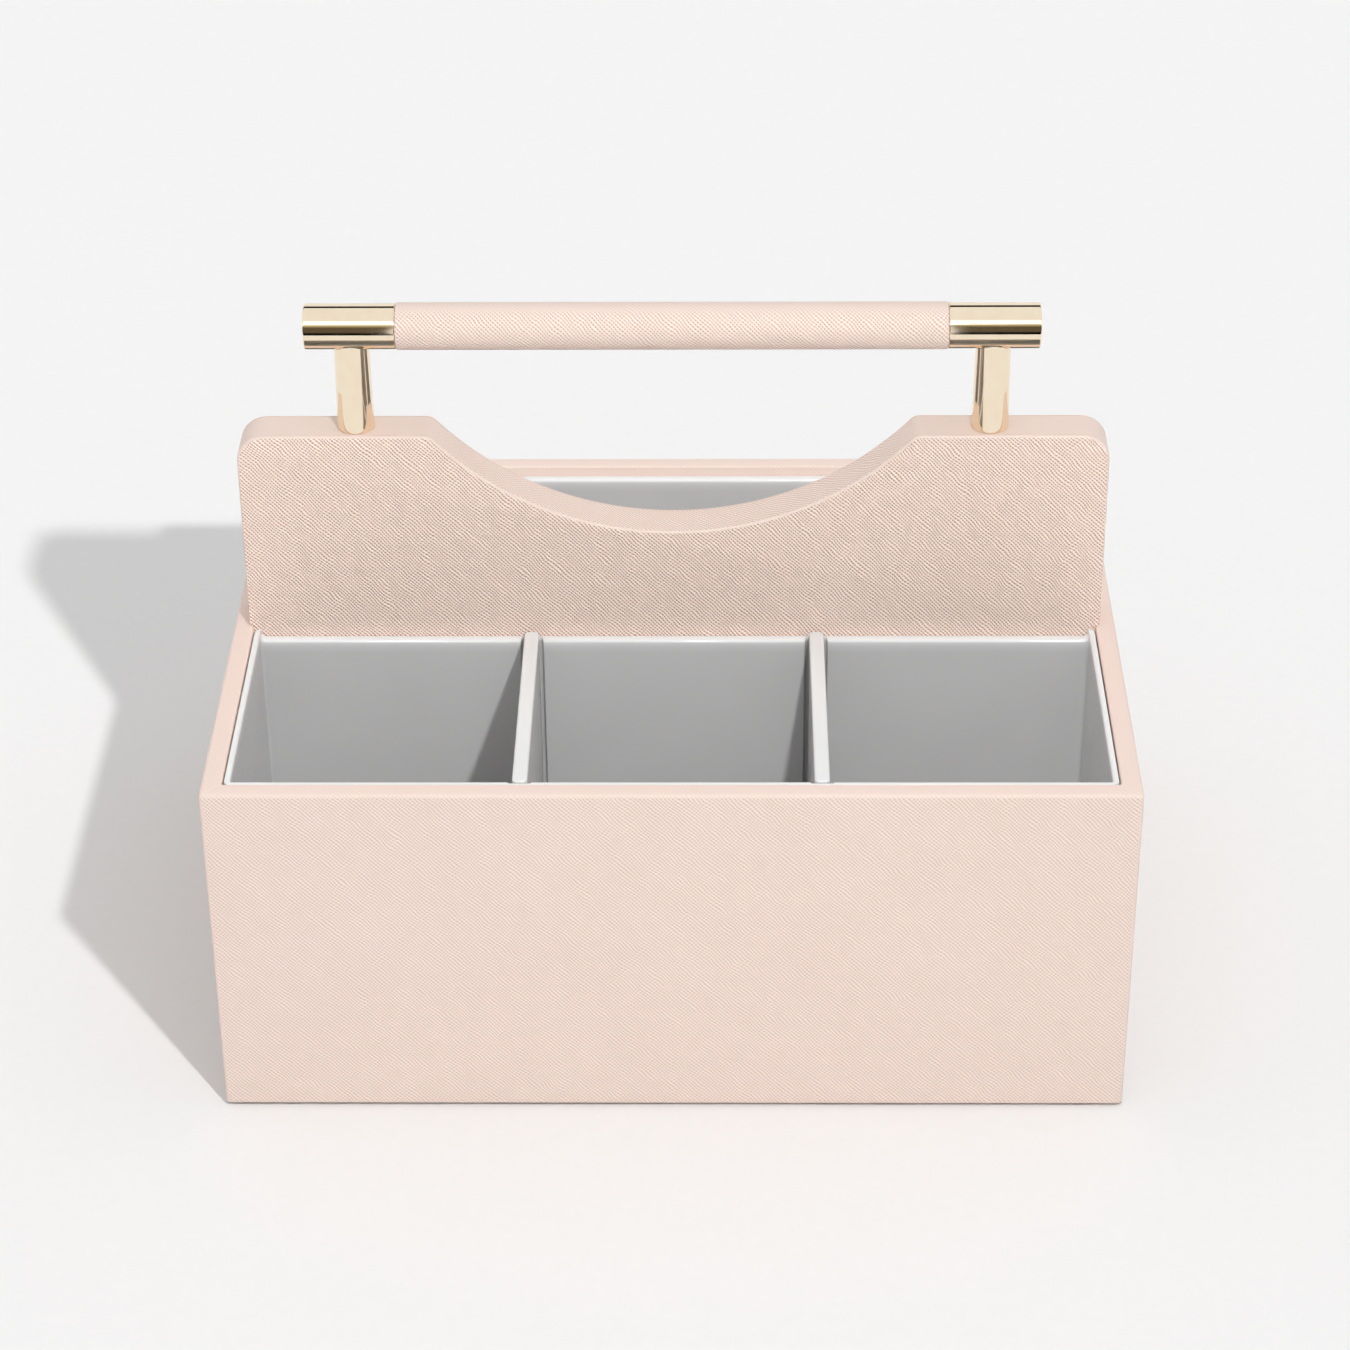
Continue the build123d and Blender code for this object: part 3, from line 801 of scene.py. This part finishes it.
def cut_tray(bm, inner_side, grooves):
    """Cut rows of edges into a tray, at the steps down to its rear wall and at the edges of its grooves."""
    step_cuts = [TRAY_STEP_ROUND * (cut / TRAY_STEP_CUTS) ** 2 for cut in range(1, TRAY_STEP_CUTS + 1)]
    for side in (-1, 1):
        cut_rows(bm, 0, [side * (inner_side - offset) for offset in [-2 * TOUCH] + step_cuts])
    edge_cuts = [GROOVE_EDGE * (cut / GROOVE_EDGE_CUTS - 0.5) for cut in range(GROOVE_EDGE_CUTS + 1)]
    for middle in grooves:
        for side in (-1, 1):
            cut_rows(bm, 0, [middle + side * GROOVE_WIDTH / 2 + offset for offset in edge_cuts])


def mould_tray(name, node, body, grooves):
    """A moulded tray with rims painted pale as a highlight, a lower rear wall and upright grooves at some
    places along X.
    """
    low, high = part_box(node)
    centre = (low + high) / 2
    half_width = (high.x - low.x) / 2
    half_depth = (high.y - low.y) / 2
    inner_side = half_width - TRAY_WALL
    floor = low.z + TRAY_FLOOR
    bm = bmesh.new()
    sweep_tray(bm, low, high)
    cut_tray(bm, inner_side, grooves)
    reach = TRAY_INSIDE + TRAY_FLOOR_FILLET + TOUCH
    rim_edge = TRAY_WALL - TRAY_RIM_INNER_ROUND - TOUCH
    rim_highlight = bm.verts.layers.float.new("rim_highlight")
    for vert in bm.verts:
        x, y, z = vert.co
        # Painted highlight: the rims are painted pale, fading down the walls.
        vert[rim_highlight] = RIM_HIGHLIGHT * highlight_at(high.z - z)
        inward = inner_side - abs(x - centre.x)
        if y > centre.y and z > high.z - HIGHLIGHT_DEPTH - TOUCH and inward > TOUCH:
            left = max(1 - inward / TRAY_STEP_ROUND, 0)
            vert.co.z -= TRAY_REAR_DROP - TRAY_STEP_ROUND * (1 - (1 - left**2) ** 0.5)
        from_wall = half_depth - abs(y - centre.y)
        if z > floor - TOUCH and rim_edge < from_wall < reach:
            behind = 1 if y > centre.y else -1
            shares = [(GROOVE_WIDTH / 2 - abs(x - middle)) / GROOVE_EDGE + 0.5 for middle in grooves]
            groove = max((ease(share) for share in shares), default=0)
            extra = TRAY_REAR_EXTRA if behind > 0 else TRAY_THINNING
            vert.co.y += behind * GROOVE_DEPTH * groove - extra * (1 - groove)
            # The grooves keep no painted highlight, so they show darker there, as painted shade.
            vert[rim_highlight] *= 1 - groove
        from_side = half_width - abs(x - centre.x)
        if z > floor - TOUCH and rim_edge < from_side < reach:
            vert.co.x += TRAY_THINNING if x > centre.x else -TRAY_THINNING
    turn_out(bm, max(bm.faces, key=lambda f: f.calc_center_median().y), Vector((0, 1, 0)))
    make_piece(name, bm, "tray_plastic", body, [node])


def mould_divider(name, node, body):
    """A lift-out divider with rounded ends and softened edges."""
    low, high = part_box(node)
    size = high - low
    bm = bmesh.new()
    place = Matrix.Translation((low + high) / 2) @ Matrix.Diagonal((*size, 1))
    bmesh.ops.create_cube(bm, size=1.0, matrix=place)
    uprights = [e for e in bm.edges if abs(e.verts[0].co.z - e.verts[1].co.z) > size.z / 2]
    round_off(bm, uprights, DIVIDER_END_ROUND, DIVIDER_END_STEPS)
    top = [e for e in bm.edges if min(v.co.z for v in e.verts) > high.z - TOUCH]
    round_off(bm, top, DIVIDER_TOP_ROUND, DIVIDER_TOP_STEPS)
    foot = [e for e in bm.edges if max(v.co.z for v in e.verts) < low.z + TOUCH]
    round_off(bm, foot, DIVIDER_FOOT_ROUND, DIVIDER_FOOT_STEPS)
    cut_rows(bm, 2, [high.z - HIGHLIGHT_DEPTH, high.z - HIGHLIGHT_DEPTH / 2])
    # Painted highlight: the divider's top is painted pale, fading down its sides.
    rim_highlight = bm.verts.layers.float.new("rim_highlight")
    for vert in bm.verts:
        vert[rim_highlight] = DIVIDER_HIGHLIGHT * highlight_at(high.z - vert.co.z)
    make_piece(name, bm, "tray_plastic", body, [node])


def lay_felt(name, node, corner):
    """A sheet of felt with softened edges."""
    low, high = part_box(node)
    stations = [
        (FELT_EDGE_ROUND, low.z),
        (0, low.z + FELT_EDGE_ROUND),
        (0, high.z - FELT_EDGE_ROUND),
        (FELT_EDGE_ROUND, high.z),
    ]
    bm = bmesh.new()
    shrink = Vector((FELT_EDGE_ROUND, FELT_EDGE_ROUND, 0))
    sole = level_outline(bm, low + shrink, high - shrink, low.z, corner, FELT_CORNER_STEPS)
    rings = sweep_ring(bm, list(sole.edges), low, high, stations)
    bmesh.ops.contextual_create(bm, geom=rings[-1][1])
    turn_out(bm, max(bm.faces, key=lambda f: f.calc_center_median().z), Vector((0, 0, 1)))
    piece = make_piece(name, bm, "felt", "carcass", [node], SOFT_EDGE)


finish_frame()
wrap_box()
cover_partition("partition_front_leather", "partition_front_cover", -1)
cover_partition("partition_back_leather", "partition_back_cover", 1)
band_partition()
wrap_grip()
dividers = [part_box(f"front_{side}_divider") for side in ("left", "right")]
divider_places = [(low.x + high.x) / 2 for low, high in dividers]
mould_tray("front_tray_moulding", "front_tray", "front_insert", divider_places)
mould_tray("rear_tray_moulding", "rear_tray", "rear_insert", [])
for side in ("left", "right"):
    mould_divider(f"{side}_divider_moulding", f"front_{side}_divider", f"{side}_divider")
lay_felt("base_felt_pad", "base_felt", FELT_CORNER_ROUND)
for bay in ("front", "rear"):
    lay_felt(f"{bay}_floor_felt", f"{bay}_floor_lining", LINING_CORNER_ROUND)


def matt_paper(tree):
    # Seamless background paper: an even, nearly white matt grey with a trace of tooth.
    place = add_node(tree, "TexCoord").outputs["Object"]
    tooth = add_node(tree, "TexNoise", {"Vector": place, "Scale": per_size(4.0), "Detail": 2.0})
    colour = add_node(
        tree,
        "Mix",
        {"Factor_Float": tooth, "A_Color": linear("#E4E4E4"), "B_Color": linear("#E7E7E7")},
        data_type="RGBA",
    )
    return {"Base Color": colour, "Roughness": 1.0, "Specular IOR Level": 0.0}


def set_floor():
    """A plain pale floor that keeps the shadow."""
    bm = bmesh.new()
    bmesh.ops.create_grid(bm, x_segments=1, y_segments=1, size=FLOOR_HALF_SIZE)
    floor = add_object("floor", bm, make_material("seamless_paper", matt_paper))


def hang_lamp(name):
    """A small lamp in front on the right."""
    lamp = bpy.data.lights.new(name, "POINT")
    lamp.energy = 1.0
    lamp.shadow_soft_size = LAMP_RADIUS
    tree = empty_tree(lamp)
    # The lamp gains strength with the cube of the distance, so that the floor is lit evenly all over.
    distance = add_node(tree, "LightPath").outputs["Ray Length"]
    gain = add_node(tree, "Math", {"Value": distance, "Value_001": 3.0}, operation="POWER")
    strength = add_node(tree, "Math", {"Value": gain, "Value_001": LAMP_POWER}, operation="MULTIPLY")
    glow = add_node(tree, "Emission", {"Strength": strength})
    add_node(tree, "OutputLight", {"Surface": glow})
    key = bpy.data.objects.new(name, lamp)
    key.location = LAMP_PLACE
    key.visible_camera = False
    bpy.context.scene.collection.objects.link(key)
    return key


def light_group(name, pieces, state):
    """A collection that a lamp's light or shadow takes in or leaves out."""
    group = bpy.data.collections.new(name)
    for piece in pieces:
        group.objects.link(piece)
    for member in group.collection_objects:
        member.light_linking.link_state = state
    return group


def light_object():
    """One lamp for the object and its twin for the floor.

    On the floor, the photograph shows the shadow of the box and the partition, without the handle.
    """
    scene = bpy.context.scene
    floor = scene.objects["floor"]
    handle = [frame["nodes"][name] for name in HANDLE_NODES] + [scene.objects["grip_leather"]]
    object_lamp = hang_lamp("object_lamp")
    object_lamp.light_linking.receiver_collection = light_group("all_but_floor", [floor], "EXCLUDE")
    floor_lamp = hang_lamp("floor_lamp")
    floor_lamp.light_linking.receiver_collection = light_group("floor_alone", [floor], "INCLUDE")
    floor_lamp.light_linking.blocker_collection = light_group("all_but_handle", handle, "EXCLUDE")


def fill_shadows():
    """A surround that fills the shadows, and that is seen and reflected as an even pale grey."""
    world = bpy.data.worlds.new("studio")
    tree = empty_tree(world)
    path = add_node(tree, "LightPath")
    mirrored = add_node(
        tree,
        "Math",
        {"Value": path.outputs["Is Glossy Ray"], "Value_001": path.outputs["Is Transmission Ray"]},
        operation="MAXIMUM",
    )
    seen = add_node(
        tree,
        "Math",
        {"Value": path.outputs["Is Camera Ray"], "Value_001": mirrored},
        operation="MAXIMUM",
    )
    direction = add_node(tree, "TexCoord").outputs["Generated"]
    upward = add_node(tree, "SeparateXYZ", {"Vector": direction}).outputs["Z"]
    sky = add_node(
        tree, "MapRange", {"Value": upward, "To Min": FILL_AT_HORIZON, "To Max": FILL_OVERHEAD}
    )
    fill = add_node(tree, "Background", {"Color": linear("#FFFFFF"), "Strength": sky})
    backdrop = add_node(tree, "Background", {"Color": linear("#F4F4F4"), "Strength": 1.0})
    mixed = add_node(tree, "MixShader", {"Fac": seen, "Shader": fill, "Shader_001": backdrop})
    add_node(tree, "OutputWorld", {"Surface": mixed})
    bpy.context.scene.world = world
    bpy.context.scene.view_settings.view_transform = "Standard"


def place_camera():
    """A camera where the photograph was taken from, with the same angle of view."""
    camera = bpy.data.cameras.new("camera")
    camera.sensor_width = SENSOR
    camera.lens = SENSOR * FOCAL_PIXELS / IMAGE_PIXELS
    camera.clip_start = CLIP_START
    camera.clip_end = CLIP_END
    eye = bpy.data.objects.new("camera", camera)
    eye.matrix_world = (
        Matrix.Translation(CAMERA_PLACE)
        @ Matrix.Rotation(CAMERA_YAW, 4, "Z")
        @ Matrix.Rotation(pi / 2 - CAMERA_PITCH, 4, "X")
        @ Matrix.Rotation(CAMERA_ROLL, 4, "Z")
    )
    bpy.context.scene.collection.objects.link(eye)
    bpy.context.scene.camera = eye


def glowing(colour, strength):
    """Shader inputs of a panel that shows one brightness, however it is lit."""
    return {
        "Base Color": linear("#000000"),
        "Specular IOR Level": 0.0,
        "Emission Color": colour,
        "Emission Strength": strength,
    }


def shaded_flag(tree):
    # Black cloth flag that glows with painted shading: black at its foot, a warm dark grey above it, and
    # paler towards its top, as painted light spilling over the edge.
    place = add_node(tree, "TexCoord").outputs["Object"]
    height = add_node(tree, "SeparateXYZ", {"Vector": place}).outputs["Z"]
    black, grey = FLAG_LIFT
    dark, bright = FLAG_PAINTED_SPILL
    lifted = add_node(tree, "MapRange", {"Value": height, "From Min": black, "From Max": grey})
    painted_spill = add_node(tree, "MapRange", {"Value": height, "From Min": dark, "From Max": bright})
    cloth = add_node(
        tree,
        "Mix",
        {"Factor_Float": lifted, "A_Color": linear("#0A0A0A"), "B_Color": linear("#5F5545")},
        data_type="RGBA",
    )
    colour = add_node(
        tree,
        "Mix",
        {"Factor_Float": painted_spill, "A_Color": cloth, "B_Color": linear("#D8CDA0")},
        data_type="RGBA",
    )
    return glowing(colour, FLAG_GLOW)


def black_flag(tree):
    # Black velvet flag, which swallows nearly all light.
    return glowing(linear("#0A0A0A"), FLAG_GLOW)


def bright_diffuser(tree):
    # Front cloth of a softbox, seen close to its bulb.
    return glowing(linear("#FFFFFF"), FRONT_SOFTBOX_GLOW)


def soft_diffuser(tree):
    # Large overhead cloth, evenly lit from behind.
    return glowing(linear("#FFFFFF"), TOP_SOFTBOX_GLOW)


def hang_panels():
    """Flags and softboxes around the object, which only the reflections in polished surfaces see."""
    makers = (shaded_flag, black_flag, bright_diffuser, soft_diffuser)
    cloths = {maker.__name__: make_material(maker.__name__, maker) for maker in makers}
    for name, cloth, (left, front, foot), (right, back, top) in PANELS:
        bm = bmesh.new()
        corners = ((left, front, foot), (right, front, foot), (right, back, top), (left, back, top))
        bm.faces.new([bm.verts.new(corner) for corner in corners])
        panel = add_object(name, bm, cloths[cloth])
        for ray in ("camera", "diffuse", "transmission", "volume_scatter", "shadow"):
            setattr(panel, "visible_" + ray, False)


hang_panels()
set_floor()
light_object()
fill_shadows()
place_camera()
